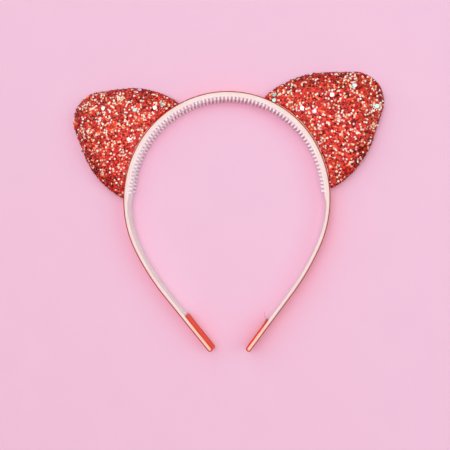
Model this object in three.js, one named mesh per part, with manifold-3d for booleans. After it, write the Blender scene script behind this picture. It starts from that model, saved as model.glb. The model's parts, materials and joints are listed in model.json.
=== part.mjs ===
// Cat ears headband: a springy toothed plastic band covered outside with satin ribbon, and two
// padded glitter ears glued to it. It lies flat: +X to the right ear, +Y to the crown, +Z up.
// Lengths are in millimetres and angles in degrees.
import * as THREE from 'three';
import { mergeVertices } from 'three/addons/utils/BufferGeometryUtils.js';
import Module from 'manifold-3d';

const wasm = await Module();
wasm.setup();

// ---- Driving dimensions ----

// The band's outer line, from the top of the crown down one side: three arcs, then a straight arm.
const BAND_ARCS = [
  { radius: 62.4, turn: 65.7 },
  { radius: 69.2, turn: 49.9 },
  { radius: 150, turn: 12.7 },
];
const ARM_STRAIGHT = 43;
const BAND_WIDTH = 9; // along Z
const GAP = 0.3; // clearance between glued pieces
const RIBBON_THICKNESS = 0.35;
const RIBBON_WIDTH = 8.8;
const RIBBON_FOLD = { right: 19.5, left: 24.5 }; // length turned in over each tip
const PLASTIC_THICKNESS = 1.7;

// The comb: a row of teeth along each edge of the band, half a pitch apart.
const TOOTH_PITCH = 2.5;
const TEETH_PER_SIDE = { right: 40, left: 38 }; // in each row, from the top of the crown
const TOOTH_LENGTH = 2.9;
const TOOTH_ROOT_WIDTH = 1.3;
const TOOTH_TIP_WIDTH = 0.8;
const TOOTH_ROW_WIDTH = 2.6; // along Z
const TOOTH_ROOT_DEPTH = 0.4; // how far a tooth reaches into the band that it grows from

// The band flexes at the crown, here at two places between the ears.
const FLEX_AT = 5.25 * TOOTH_PITCH; // along the outer line from the top of the crown
const FLEX_GAP = 0.5;

// An ear: its base lies along the band, its seam is a rounded triangle at half the band's width.
const EAR_START = 27; // along the outer line
const EAR_END = 97;
const SHOULDER_HEADING = 85; // the seam's direction at the base, from the base's chord
const SHOULDER_RADIUS = 54;
const SHOULDER_TURN = 42;
const SEAM_STRAIGHT = 15;
const BLUNT_TIP = 2; // half the width of the last row of the ear's surface
const PANEL_THICKNESS = 0.8;
const PANEL_EDGE = 0.4; // a panel's thickness at the seam
const PANEL_LIFT = 1.6; // from the ribbon to the panels' base edge
const FRONT_CROWN = 6.45; // how far a panel swells from its seam
const BACK_CROWN = 3.95;
const BASE_CROWN = 3.95;
const FULLEST_ROW = 0.42; // where an ear is thickest, from base 0 to tip 1
const FRONT_ROUNDNESS = 0.5; // power of the swell across the ear, lower is flatter
const BACK_ROUNDNESS = 0.35;
const EAR_ROWS = 8;
const EAR_COLUMNS = 12;
const EAR_CENTRE = 24; // above the base's chord, the point that inner pieces shrink towards
const SPONGE_SCALE = 0.87;
const SPONGE_EDGE = 0.3; // half the sponge's thickness at its rim
const SPONGE_FILL = 0.85; // of the panels' swell
const STITCH_SCALE = 0.94;
const STITCH_START = 0.06; // along the seam, from base corner 0 to tip 1
const THREAD_RADIUS = 0.25;
const THREAD_SIDES = 6;
const THREAD_STEPS = 36;

const GLUE_THICKNESS = 0.6;
const GLUE_WIDTH = 5;
const STRIP_THICKNESS = 0.8;
const STRIP_REACH = 0.84; // of the ear's half base
const STRIP_COLUMNS = 10;

const ARC_STEP = 4; // longest step along the band's curve
const TIP_STEPS = 6; // steps round a tip

const MIDDLE = BAND_WIDTH / 2;
const PLASTIC_OUTSIDE = RIBBON_THICKNESS + GAP; // depth below the outer line
const PLASTIC_INSIDE = PLASTIC_OUTSIDE + PLASTIC_THICKNESS;
const TIP_CENTRE_DEPTH = (PLASTIC_OUTSIDE + PLASTIC_INSIDE) / 2;
const HALF_LENGTH = BAND_ARCS.reduce((sum, arc) => sum + arc.radius * rad(arc.turn), ARM_STRAIGHT);
const TIP_CENTRE_AT = HALF_LENGTH - TIP_CENTRE_DEPTH;

// ---- Materials ----

const plastic = { color: '#f0e2db', roughness: 0.4, metalness: 0 };
const satin = { color: '#cf2b23', roughness: 0.45, metalness: 0 };
const glitter = { color: '#c8281f', roughness: 0.3, metalness: 0.4 };
const sponge = { color: '#efe6d4', roughness: 0.95, metalness: 0 };
const felt = { color: '#a31d1c', roughness: 0.9, metalness: 0 };
const hotGlue = { color: '#f2b79a', roughness: 0.25, metalness: 0 };
const thread = { color: '#a81c1e', roughness: 0.7, metalness: 0 };

// ---- Helpers ----

function rad(degrees) {
  return THREE.MathUtils.degToRad(degrees);
}

// A point at a distance along the band's outer line from the top of the crown, positive to the
// right, and a depth inwards from that line.
function bandPoint(along, depth) {
  const side = Math.sign(along) || 1;
  let left = Math.abs(along);
  let heading = 0;
  let x = 0;
  let y = 0;
  for (const arc of BAND_ARCS) {
    const angle = Math.min(left / arc.radius, rad(arc.turn));
    x += arc.radius * (Math.sin(heading + angle) - Math.sin(heading));
    y += arc.radius * (Math.cos(heading + angle) - Math.cos(heading));
    heading += angle;
    left -= arc.radius * angle;
  }
  x += left * Math.cos(heading) - depth * Math.sin(heading);
  y -= left * Math.sin(heading) + depth * Math.cos(heading);
  return new THREE.Vector2(side * x, y);
}

// Points along the band at one depth, no further apart than ARC_STEP.
function bandLine(from, to, depth) {
  const steps = Math.ceil(Math.abs(to - from) / ARC_STEP);
  return Array.from({ length: steps + 1 }, (_, i) =>
    bandPoint(THREE.MathUtils.lerp(from, to, i / steps), depth));
}

// The half circle round the right tip, without its two end points.
function tipArc(radius) {
  return Array.from({ length: TIP_STEPS - 1 }, (_, i) => {
    const turn = (Math.PI * (i + 1)) / TIP_STEPS;
    const depth = TIP_CENTRE_DEPTH - radius * Math.cos(turn);
    return bandPoint(TIP_CENTRE_AT + radius * Math.sin(turn), depth);
  });
}

// A flat outline given a height along Z, centred on the middle of the band's width.
function slab(points, height, middle = MIDDLE) {
  const shape = new THREE.Shape(points);
  const geometry = new THREE.ExtrudeGeometry(shape, { depth: height, bevelEnabled: false });
  return geometry.translate(0, 0, middle - height / 2);
}

function toSolid(geometry) {
  const bare = geometry.clone();
  bare.deleteAttribute('normal');
  bare.deleteAttribute('uv');
  const merged = mergeVertices(bare);
  return new wasm.Manifold(new wasm.Mesh({
    numProp: 3,
    vertProperties: new Float32Array(merged.attributes.position.array),
    triVerts: new Uint32Array(merged.index.array),
  }));
}

function fromSolid(solid) {
  const mesh = solid.getMesh();
  const geometry = new THREE.BufferGeometry();
  geometry.setAttribute('position', new THREE.BufferAttribute(mesh.vertProperties, 3));
  geometry.setIndex(new THREE.BufferAttribute(mesh.triVerts, 1));
  return geometry;
}

// A closed sheet with two faces over one grid, joined round the grid's border. Each face is a
// function of a row and a column, from 0 to 1. Seen from above the upper face, a row's direction
// is a quarter turn anticlockwise from a column's.
function closedSheet(rows, columns, lower, upper) {
  const points = [lower, upper].flatMap((face) =>
    Array.from({ length: (rows + 1) * (columns + 1) }, (_, k) =>
      face(Math.floor(k / (columns + 1)) / rows, (k % (columns + 1)) / columns)));
  const at = (face, i, j) => (face * (rows + 1) + i) * (columns + 1) + j;
  const triangles = [];
  const quad = (a, b, c, d) => triangles.push(a, b, c, a, c, d);
  for (let i = 0; i < rows; i++) {
    for (let j = 0; j < columns; j++) {
      quad(at(1, i, j), at(1, i, j + 1), at(1, i + 1, j + 1), at(1, i + 1, j));
      quad(at(0, i, j), at(0, i + 1, j), at(0, i + 1, j + 1), at(0, i, j + 1));
    }
    quad(at(0, i, 0), at(1, i, 0), at(1, i + 1, 0), at(0, i + 1, 0));
    quad(at(0, i + 1, columns), at(1, i + 1, columns), at(1, i, columns), at(0, i, columns));
  }
  for (let j = 0; j < columns; j++) {
    quad(at(0, 0, j + 1), at(1, 0, j + 1), at(1, 0, j), at(0, 0, j));
    quad(at(0, rows, j), at(1, rows, j), at(1, rows, j + 1), at(0, rows, j + 1));
  }
  const geometry = new THREE.BufferGeometry().setFromPoints(points);
  geometry.setIndex(triangles);
  return geometry;
}

// The same piece on the other side of the headband, with its faces still pointing out.
function mirrored(geometry) {
  const copy = mergeVertices(geometry.clone().scale(-1, 1, 1));
  const index = Array.from(copy.index.array);
  copy.setIndex(index.map((_, k) => index[k - (k % 3) + (2 - (k % 3))]));
  return copy;
}

// ---- Band ----

// One tooth at a place along the band, in the row along the band's upper or lower edge.
function tooth(along, middle) {
  const root = PLASTIC_INSIDE - TOOTH_ROOT_DEPTH;
  const tip = PLASTIC_INSIDE + TOOTH_LENGTH;
  const out = bandPoint(along, 0);
  const inward = bandPoint(along, 1).sub(out);
  const sideways = new THREE.Vector2(-inward.y, inward.x);
  const corner = (across, depth) =>
    out.clone().addScaledVector(sideways, across).addScaledVector(inward, depth);
  const outline = [
    corner(-TOOTH_ROOT_WIDTH / 2, root),
    corner(TOOTH_ROOT_WIDTH / 2, root),
    corner(TOOTH_TIP_WIDTH / 2, tip),
    corner(-TOOTH_TIP_WIDTH / 2, tip),
  ];
  return toSolid(slab(outline, TOOTH_ROW_WIDTH, middle));
}

// The teeth whose middles lie in one stretch of the band.
function teethBetween(from, to) {
  const upper = BAND_WIDTH - TOOTH_ROW_WIDTH / 2;
  const lower = TOOTH_ROW_WIDTH / 2;
  const places = [];
  for (let k = Math.floor(from / TOOTH_PITCH); k * TOOTH_PITCH < to; k++) {
    places.push({ along: (k + 0.5) * TOOTH_PITCH, middle: upper });
    places.push({ along: k * TOOTH_PITCH, middle: lower });
  }
  return places
    .filter(({ along }) => along > from && along < to)
    .map(({ along, middle }) => tooth(along, middle));
}

function withTeeth(outline, from, to) {
  const strip = toSolid(slab(outline, BAND_WIDTH));
  return fromSolid(teethBetween(from, to).reduce((solid, piece) => solid.add(piece), strip));
}

function crownBand() {
  const end = FLEX_AT - FLEX_GAP / 2;
  const outline = [...bandLine(-end, end, PLASTIC_OUTSIDE), ...bandLine(end, -end, PLASTIC_INSIDE)];
  return withTeeth(outline, -FLEX_AT, FLEX_AT);
}

function armBand(side) {
  const start = FLEX_AT + FLEX_GAP / 2;
  const outline = [
    ...bandLine(start, TIP_CENTRE_AT, PLASTIC_OUTSIDE),
    ...tipArc(PLASTIC_THICKNESS / 2),
    ...bandLine(TIP_CENTRE_AT, start, PLASTIC_INSIDE),
  ];
  return withTeeth(outline, FLEX_AT, TEETH_PER_SIDE[side] * TOOTH_PITCH);
}

// ---- Ribbon ----

function crownRibbon() {
  const end = FLEX_AT - FLEX_GAP / 2;
  return slab([...bandLine(-end, end, 0), ...bandLine(end, -end, RIBBON_THICKNESS)], RIBBON_WIDTH);
}

// The ribbon runs down the arm's outside, round the tip and back along the inside.
function armRibbon(side) {
  const start = FLEX_AT + FLEX_GAP / 2;
  const foldEnd = TIP_CENTRE_AT - RIBBON_FOLD[side];
  const foldOutside = 2 * TIP_CENTRE_DEPTH;
  const outline = [
    ...bandLine(start, TIP_CENTRE_AT, 0),
    ...tipArc(TIP_CENTRE_DEPTH),
    bandPoint(TIP_CENTRE_AT, foldOutside),
    bandPoint(foldEnd, foldOutside),
    bandPoint(foldEnd, foldOutside - RIBBON_THICKNESS),
    bandPoint(TIP_CENTRE_AT, foldOutside - RIBBON_THICKNESS),
    ...tipArc(TIP_CENTRE_DEPTH - RIBBON_THICKNESS).reverse(),
    ...bandLine(TIP_CENTRE_AT, start, RIBBON_THICKNESS),
  ];
  return slab(outline, RIBBON_WIDTH);
}

// ---- Ears ----

// The base's chord gives an ear its own axes: u along the chord towards the tip of the arm, v out
// from the band.
const earUpperCorner = bandPoint(EAR_START, -PANEL_LIFT);
const earLowerCorner = bandPoint(EAR_END, -PANEL_LIFT);
const earMiddle = earUpperCorner.clone().lerp(earLowerCorner, 0.5);
const earU = earLowerCorner.clone().sub(earMiddle).normalize();
const earV = new THREE.Vector2(-earU.y, earU.x);
const halfChord = earLowerCorner.distanceTo(earMiddle);

function toEar(point) {
  const from = point.clone().sub(earMiddle);
  return new THREE.Vector2(from.dot(earU), from.dot(earV));
}

function earPlace(u, v, z) {
  const flat = earMiddle.clone().addScaledVector(earU, u).addScaledVector(earV, v);
  return new THREE.Vector3(flat.x, flat.y, z);
}

// Half of the seam, from the base's lower corner to the ear's tip: a shoulder, a straight and a tip
// whose radius closes the seam on the ear's centre line.
function makeSeam() {
  const startAngle = rad(SHOULDER_HEADING - 90);
  const endAngle = startAngle + rad(SHOULDER_TURN);
  const centre = new THREE.Vector2(
    halfChord - SHOULDER_RADIUS * Math.cos(startAngle), -SHOULDER_RADIUS * Math.sin(startAngle));
  const shoulder = new THREE.EllipseCurve(
    centre.x, centre.y, SHOULDER_RADIUS, SHOULDER_RADIUS, startAngle, endAngle);
  const straightStart = shoulder.getPoint(1);
  const direction = new THREE.Vector2(-Math.sin(endAngle), Math.cos(endAngle));
  const straightEnd = straightStart.clone().addScaledVector(direction, SEAM_STRAIGHT);
  const tipRadius = straightEnd.x / Math.cos(endAngle);
  const tip = new THREE.EllipseCurve(
    0, straightEnd.y - tipRadius * Math.sin(endAngle), tipRadius, tipRadius, endAngle, Math.PI / 2);
  const seam = new THREE.CurvePath();
  seam.add(shoulder);
  seam.add(new THREE.LineCurve(straightStart, straightEnd));
  seam.add(tip);
  return seam;
}

const seam = makeSeam();
const seamReach = 1 - BLUNT_TIP / seam.getLength();
const earHeight = seam.getPoint(1).y;
const baseRise = toEar(bandPoint((EAR_START + EAR_END) / 2, -PANEL_LIFT)).y;

// A point of the ear's flat pattern: row 0 lies along the band and row 1 at the tip, and across
// runs from -1 at the upper seam to 1 at the lower seam.
function earFlat(row, across) {
  const edge = seam.getPointAt(row * seamReach);
  const along = THREE.MathUtils.lerp(EAR_START, EAR_END, (across + 1) / 2);
  const bulge = toEar(bandPoint(along, -PANEL_LIFT)).y / baseRise;
  const middle = THREE.MathUtils.lerp(baseRise, earHeight, row);
  return new THREE.Vector2(edge.x * across, edge.y + (middle - edge.y) * bulge);
}

// How far a panel swells at a point of the pattern.
function swell(row, across, crown, roundness) {
  const fall = Math.max(0, (row - FULLEST_ROW) / (1 - FULLEST_ROW));
  const rise = Math.max(0, (FULLEST_ROW - row) / FULLEST_ROW);
  const centre = crown * Math.sqrt(1 - fall * fall) - (crown - BASE_CROWN) * rise * rise;
  return centre * Math.pow(Math.max(0, 1 - across * across), roundness);
}

// A face of an ear piece: the pattern shrunk towards the ear's centre, raised by height(row, across).
function earFace(scale, height) {
  return (row, column) => {
    const across = -Math.cos(Math.PI * column);
    const flat = earFlat(row, across);
    const v = EAR_CENTRE + (flat.y - EAR_CENTRE) * scale;
    return earPlace(flat.x * scale, v, MIDDLE + height(row, across));
  };
}

const innerScale = 1 - PANEL_THICKNESS / halfChord;
const innerSwell = (crown) => (crown - PANEL_THICKNESS + PANEL_EDGE) / crown;

// A glitter panel: side is 1 for the front and -1 for the back.
function panel(side, crown, roundness) {
  const inside = (row, across) =>
    side * (GAP / 2 + innerSwell(crown) * swell(row, across, crown, roundness));
  const outside = (row, across) =>
    side * (GAP / 2 + PANEL_EDGE + swell(row, across, crown, roundness));
  const faces = [earFace(innerScale, inside), earFace(1, outside)];
  const [lower, upper] = side > 0 ? faces : faces.reverse();
  return closedSheet(EAR_ROWS, EAR_COLUMNS, lower, upper);
}

// The sponge stays inside both panels: its rim is thin and its faces follow their swell.
function spongePad() {
  const face = (side, crown) => earFace(SPONGE_SCALE, (row, across) => {
    const fill = SPONGE_FILL * innerSwell(crown);
    return side * (SPONGE_EDGE + fill * swell(row, across, crown, FRONT_ROUNDNESS));
  });
  return closedSheet(EAR_ROWS, EAR_COLUMNS, face(-1, BACK_CROWN), face(1, FRONT_CROWN));
}

// The stitching just inside the seam, up one side of the ear, over the tip and down the other.
function seamThread() {
  const route = Array.from({ length: THREAD_STEPS + 1 }, (_, k) => {
    const turn = THREE.MathUtils.lerp(-1, 1, k / THREAD_STEPS);
    const point = seam.getPointAt(1 - Math.abs(turn) * (1 - STITCH_START));
    const v = EAR_CENTRE + (point.y - EAR_CENTRE) * STITCH_SCALE;
    return earPlace(Math.sign(turn) * point.x * STITCH_SCALE, v, MIDDLE);
  });
  const section = new THREE.Shape();
  for (let k = 0; k < THREAD_SIDES; k++) {
    const angle = (2 * Math.PI * k) / THREAD_SIDES;
    const move = k ? 'lineTo' : 'moveTo';
    section[move](THREAD_RADIUS * Math.cos(angle), THREAD_RADIUS * Math.sin(angle));
  }
  return new THREE.ExtrudeGeometry(section, {
    steps: THREAD_STEPS,
    extrudePath: new THREE.CatmullRomCurve3(route),
    bevelEnabled: false,
  });
}

// A strip that follows the band under an ear, between two heights above the ribbon.
function bandStrip(low, high, halfWidth) {
  const face = (lift) => (row, column) => {
    const across = THREE.MathUtils.lerp(-STRIP_REACH, STRIP_REACH, column);
    const flat = bandPoint(THREE.MathUtils.lerp(EAR_START, EAR_END, (across + 1) / 2), -lift);
    return new THREE.Vector3(flat.x, flat.y, MIDDLE + halfWidth(across) * (2 * row - 1));
  };
  return closedSheet(1, STRIP_COLUMNS, face(high), face(low));
}

function glueBead() {
  return bandStrip(GAP, GAP + GLUE_THICKNESS, () => GLUE_WIDTH / 2);
}

// The felt strip that closes the ear's base between the two panels' edges.
function baseStrip() {
  const low = 2 * GAP + GLUE_THICKNESS;
  const halfWidth = (across) =>
    innerSwell(BASE_CROWN) * swell(0, across, BACK_CROWN, FRONT_ROUNDNESS) - GAP / 2;
  return bandStrip(low, low + STRIP_THICKNESS, halfWidth);
}

// ---- Assembly ----

const headband = new THREE.Group();

function add(name, geometry, look) {
  const mesh = new THREE.Mesh(geometry, new THREE.MeshStandardMaterial(look));
  mesh.name = name;
  headband.add(mesh);
}

// A piece of each side, made as the right one by make(side).
function addPair(name, make, look) {
  add(`right_${name}`, make('right'), look);
  add(`left_${name}`, mirrored(make('left')), look);
}

add('crown_band', crownBand(), plastic);
add('crown_ribbon', crownRibbon(), satin);
addPair('arm_band', armBand, plastic);
addPair('arm_ribbon', armRibbon, satin);
addPair('ear_front_panel', () => panel(1, FRONT_CROWN, FRONT_ROUNDNESS), glitter);
addPair('ear_back_panel', () => panel(-1, BACK_CROWN, BACK_ROUNDNESS), glitter);
addPair('ear_sponge', spongePad, sponge);
addPair('ear_base_strip', baseStrip, felt);
addPair('ear_glue_bead', glueBead, hotGlue);
addPair('ear_seam_thread', seamThread, thread);

// The origin is the middle of the footprint, on the surface that the headband lies on.
const footprint = new THREE.Box3().setFromObject(headband);
const middle = footprint.getCenter(new THREE.Vector3());
headband.position.set(-middle.x, -middle.y, -footprint.min.z);

export default headband;
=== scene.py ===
import json
import math

import bmesh
import bpy
import numpy as np
from mathutils import Matrix, Vector
from mathutils.kdtree import KDTree


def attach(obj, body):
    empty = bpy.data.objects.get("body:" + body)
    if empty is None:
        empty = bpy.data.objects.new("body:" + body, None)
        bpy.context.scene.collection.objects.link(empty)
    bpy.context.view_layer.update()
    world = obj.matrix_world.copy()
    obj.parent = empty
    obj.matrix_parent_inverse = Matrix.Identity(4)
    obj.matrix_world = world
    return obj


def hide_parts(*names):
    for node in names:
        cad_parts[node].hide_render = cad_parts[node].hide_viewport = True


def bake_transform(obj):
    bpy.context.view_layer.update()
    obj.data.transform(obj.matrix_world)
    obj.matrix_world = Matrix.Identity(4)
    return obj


# Cat ears headband, lying flat: +X to the right ear, +Y to the crown, +Z up.
# Blender holds metres. The sizes below are in millimetres, and make_mesh() turns them into metres.
MM = 0.001

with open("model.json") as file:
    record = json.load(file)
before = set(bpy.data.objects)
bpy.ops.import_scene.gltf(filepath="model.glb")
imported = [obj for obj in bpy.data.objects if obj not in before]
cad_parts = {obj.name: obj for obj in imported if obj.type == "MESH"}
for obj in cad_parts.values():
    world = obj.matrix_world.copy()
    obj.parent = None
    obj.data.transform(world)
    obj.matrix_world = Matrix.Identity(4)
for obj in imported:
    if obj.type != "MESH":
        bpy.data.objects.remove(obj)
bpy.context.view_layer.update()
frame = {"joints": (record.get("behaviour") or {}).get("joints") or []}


# ---- Sizes that repeat the CAD's ----

BAND_ARCS = ((62.4, 65.7), (69.2, 49.9), (150.0, 12.7))  # radius and turn of the outer line, from the crown
ARM_STRAIGHT = 43.0
BAND_WIDTH = 9.0
MIDDLE = BAND_WIDTH / 2
FLEX_AT = 13.125  # the hinge, along the outer line from the crown's top
FLEX_DEPTH = 0.65  # the hinge, in from the outer line
TIP_CENTRE_DEPTH = 1.5
TOOTH_PITCH = 2.5
TEETH_PER_SIDE = {1: 40, -1: 38}  # 1 is the right side and -1 the left
RIBBON_FOLD = {1: 19.5, -1: 24.5}
EAR_START = 27.0
EAR_END = 97.0
PANEL_LIFT = 1.6
SHOULDER_HEADING = 85.0
SHOULDER_RADIUS = 54.0
SHOULDER_TURN = 42.0
SEAM_STRAIGHT = 15.0
BLUNT_TIP = 2.0
FRONT_CROWN = 6.45
BASE_CROWN = 3.95
FULLEST_ROW = 0.42
FRONT_ROUNDNESS = 0.5
BACK_ROUNDNESS = 0.35
EAR_CENTRE = 24.0

HALF_LENGTH = ARM_STRAIGHT + sum(r * math.radians(turn) for r, turn in BAND_ARCS)
TIP_AT = HALF_LENGTH - TIP_CENTRE_DEPTH


# ---- The band's line ----

def local_line(along):
    """The outer line before it is placed: points, directions along it and directions inwards."""
    side = np.where(along < 0, -1.0, 1.0)
    left = np.abs(along)
    heading = np.zeros_like(left)
    x = np.zeros_like(left)
    y = np.zeros_like(left)
    for radius, turn in BAND_ARCS:
        angle = np.minimum(left / radius, math.radians(turn))
        x += radius * (np.sin(heading + angle) - np.sin(heading))
        y += radius * (np.cos(heading + angle) - np.cos(heading))
        heading += angle
        left -= radius * angle
    x += left * np.cos(heading)
    y -= left * np.sin(heading)
    point = np.stack([side * x, y], -1)
    forward = np.stack([np.cos(heading), -side * np.sin(heading)], -1)
    inward = np.stack([-side * np.sin(heading), -np.cos(heading)], -1)
    return point, forward, inward


def crown_top():
    """The height of the crown's top along Y, from the place of a flex joint."""
    joint = frame["joints"][0]
    point, _, inward = local_line(np.array([FLEX_AT]))
    return joint["pos_m"][1] / MM - (point + FLEX_DEPTH * inward)[0, 1]


CROWN_TOP = crown_top()


def band_line(along):
    point, forward, inward = local_line(np.asarray(along, float))
    return point + (0.0, CROWN_TOP), forward, inward


def band_place(along, depth, z):
    """Points in the frame: a distance along the outer line, a depth inwards from it and a height."""
    along, depth, z = np.broadcast_arrays(np.asarray(along, float), depth, z)
    point, _, inward = band_line(along)
    return np.concatenate([point + depth[..., None] * inward, z[..., None]], -1)


def side_name(side, name):
    return ("right_" if side > 0 else "left_") + name


# ---- Mesh helpers ----

def make_mesh(name, points, faces, look, smooth=True):
    """A new object from points in millimetres."""
    mesh = bpy.data.meshes.new(name)
    mesh.from_pydata((np.asarray(points, float).reshape(-1, 3) * MM).tolist(), [], faces)
    piece = bpy.data.objects.new(name, mesh)
    bpy.context.scene.collection.objects.link(piece)
    mesh.polygons.foreach_set("use_smooth", [smooth] * len(mesh.polygons))
    mesh.materials.append(look)
    return piece


def orient(piece, change=None):
    """Changes a piece's mesh with a function, if one is given, and turns all its faces outwards."""
    mesh = bmesh.new()
    mesh.from_mesh(piece.data)
    if change:
        change(mesh)
    bmesh.ops.recalc_face_normals(mesh, faces=mesh.faces)
    mesh.to_mesh(piece.data)
    mesh.free()


def add_values(piece, name, values):
    """Stores one number per point, which a material reads by name."""
    layer = piece.data.attributes.new(name, "FLOAT", "POINT")
    layer.data.foreach_set("value", np.asarray(values, np.float32).ravel())


def grid_faces(rows, columns, start=0, closed=False):
    """Quads over a grid of points, with its last column joined to its first if it is closed."""
    wide = columns if closed else columns - 1
    faces = []
    for i in range(rows - 1):
        for j in range(wide):
            k = (j + 1) % columns
            a, b = start + i * columns, start + (i + 1) * columns
            faces.append((a + j, a + k, b + k, b + j))
    return faces


def grid_normals(points, up):
    """Unit normals of a grid of points, on the side of +Z if up is 1 and -Z if it is -1."""
    along_rows = np.gradient(points, axis=0)
    along_columns = np.gradient(points, axis=1)
    normal = np.cross(along_rows, along_columns)
    normal /= np.maximum(np.linalg.norm(normal, axis=-1, keepdims=True), 1e-9)
    sign = np.sign(normal[..., 2].sum()) or 1.0
    return normal * sign * up


def closed_sheet(outer, inner):
    """Points and quads of a thin solid between two grids of the same shape."""
    rows, columns = outer.shape[:2]
    count = rows * columns
    faces = grid_faces(rows, columns) + grid_faces(rows, columns, count)
    index = np.arange(count).reshape(rows, columns)
    rim = [*index[0], *index[1:, -1], *index[-1, -2::-1], *index[-2:0:-1, 0]]
    for a, b in zip(rim, rim[1:] + rim[:1]):
        faces.append((a, b, count + b, count + a))
    return np.concatenate([outer.reshape(-1, 3), inner.reshape(-1, 3)]), faces


def swept(rings):
    """Points and faces of a closed tube through rings of points, capped at both ends."""
    count, sides = rings.shape[:2]
    faces = grid_faces(count, sides, closed=True)
    faces.append(tuple(range(sides)))
    faces.append(tuple((count - 1) * sides + j for j in reversed(range(sides))))
    return rings.reshape(-1, 3), faces


def tube(route, radius, sides=8):
    """Rings round a route of points, thinner towards both ends."""
    route = np.asarray(route, float)
    direction = np.gradient(route, axis=0)
    direction /= np.linalg.norm(direction, axis=1, keepdims=True)
    side = np.cross(direction, (0.0, 0.0, 1.0))
    side = np.where(np.linalg.norm(side, axis=1, keepdims=True) < 0.1, (1.0, 0.0, 0.0), side)
    side -= direction * (side * direction).sum(1, keepdims=True)
    side /= np.linalg.norm(side, axis=1, keepdims=True)
    other = np.cross(direction, side)
    turn = np.linspace(0, 2 * math.pi, sides, endpoint=False)[:, None]
    end = np.minimum(np.arange(len(route)), np.arange(len(route))[::-1])
    thick = radius * np.sqrt(np.clip((end + 0.4) / 2.0, 0, 1))
    circle = np.cos(turn)[None] * side[:, None] + np.sin(turn)[None] * other[:, None]
    return route[:, None] + thick[:, None, None] * circle


def join_parts(parts):
    """Points and faces of several (points, faces) parts in one list."""
    points, faces, start = [], [], 0
    for some, corners in parts:
        points.append(some)
        faces += [tuple(start + c for c in face) for face in corners]
        start += len(some)
    return np.concatenate(points), faces


def smooth_noise(rng, size, step):
    """A smooth random curve from -1 to 1, with a new value every few samples."""
    knots = rng.uniform(-1, 1, size // step + 4)
    at = np.arange(size) / step + 1
    low = at.astype(int)
    t = at - low
    t = t * t * (3 - 2 * t)
    return knots[low] * (1 - t) + knots[low + 1] * t


def make_piece(side, name, shape, look, slot, **values):
    """A closed piece of one side, from the points and faces of the right side's. Each of the values
    is stored on its points, and its faces are turned outwards."""
    points, faces = shape
    piece = make_mesh(side_name(side, name), points * (side, 1, 1), faces, look)
    for key, numbers in values.items():
        add_values(piece, key, numbers)
    orient(piece)
    return piece


# ---- Materials ----

class Look:
    """A node material under construction: the shader's sockets and short ways to add nodes."""

    def __init__(self, name, **values):
        self.material = bpy.data.materials.new(name)
        self.material.use_nodes = True
        self.tree = self.material.node_tree
        self.shader = self.tree.nodes["Principled BSDF"]
        self.feed(self.shader, **values)

    def put(self, socket, source):
        """Gives a socket a number, a colour or the output of another node."""
        if isinstance(source, bpy.types.NodeSocket):
            self.tree.links.new(source, socket)
        elif source is not None:
            socket.default_value = (*source, 1.0) if socket.type == "RGBA" else source

    def feed(self, node, **inputs):
        for name, source in inputs.items():
            self.put(node.inputs[name.replace("_", " ")], source)
        return node

    def node(self, kind, **settings):
        made = self.tree.nodes.new("ShaderNode" + kind)
        for key, value in settings.items():
            setattr(made, key, value)
        return made

    def place(self):
        """The object's own coordinates, in metres."""
        return self.node("TexCoord").outputs["Object"]

    def value(self, name):
        return self.node("Attribute", attribute_name=name).outputs["Fac"]

    def noise(self, scale, detail=3.0, roughness=0.5):
        made = self.feed(
            self.node("TexNoise"), Scale=scale, Detail=detail, Roughness=roughness, Vector=self.place()
        )
        return made.outputs["Fac"]

    def streaks(self, along, across, along_scale, across_scale):
        """Noise over two values in millimetres, drawn out along the first."""
        place = self.feed(
            self.node("CombineXYZ"),
            X=self.math("MULTIPLY", along, along_scale), Y=self.math("MULTIPLY", across, across_scale),
        )
        made = self.feed(self.node("TexNoise"), Scale=1.0, Detail=3.0, Vector=place.outputs["Vector"])
        return made.outputs["Fac"]

    def cells(self, scale, output="Distance"):
        return self.feed(self.node("TexVoronoi"), Scale=scale, Vector=self.place()).outputs[output]

    def math(self, operation, first, second=None):
        made = self.node("Math", operation=operation)
        for socket, source in zip(made.inputs, (first, second)):
            self.put(socket, source)
        return made.outputs[0]

    def ramp(self, source, stops, interpolation="LINEAR"):
        """A colour ramp: stops are (place, colour)."""
        made = self.node("ValToRGB")
        band = made.color_ramp
        band.interpolation = interpolation
        while len(band.elements) < len(stops):
            band.elements.new(0.5)
        for element, (place, colour) in zip(band.elements, stops):
            element.position = place
            element.color = (*colour, 1.0)
        return self.feed(made, Fac=source).outputs["Color"]

    def range(self, source, low, high, start=0.0, end=1.0):
        made = self.feed(
            self.node("MapRange"), Value=source, From_Min=start, From_Max=end, To_Min=low, To_Max=high
        )
        return made.outputs["Result"]

    def mix(self, share, first, second, blend="MIX"):
        made = self.feed(self.node("Mix", data_type="RGBA", blend_type=blend), Factor=share)
        sockets = [s for s in made.inputs if s.type == "RGBA"]
        for socket, source in zip(sockets, (first, second)):
            self.put(socket, source)
        return [s for s in made.outputs if s.type == "RGBA"][0]

    def bump(self, height, depth, strength=1.0, base=None):
        """depth is the relief in millimetres."""
        made = self.feed(
            self.node("Bump"), Distance=depth * MM, Strength=strength, Height=height, Normal=base
        )
        return made.outputs["Normal"]

    def done(self, colour, roughness, normal=None, metallic=None):
        self.feed(self.shader, Base_Color=colour, Roughness=roughness, Normal=normal, Metallic=metallic)
        return self.material


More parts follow.
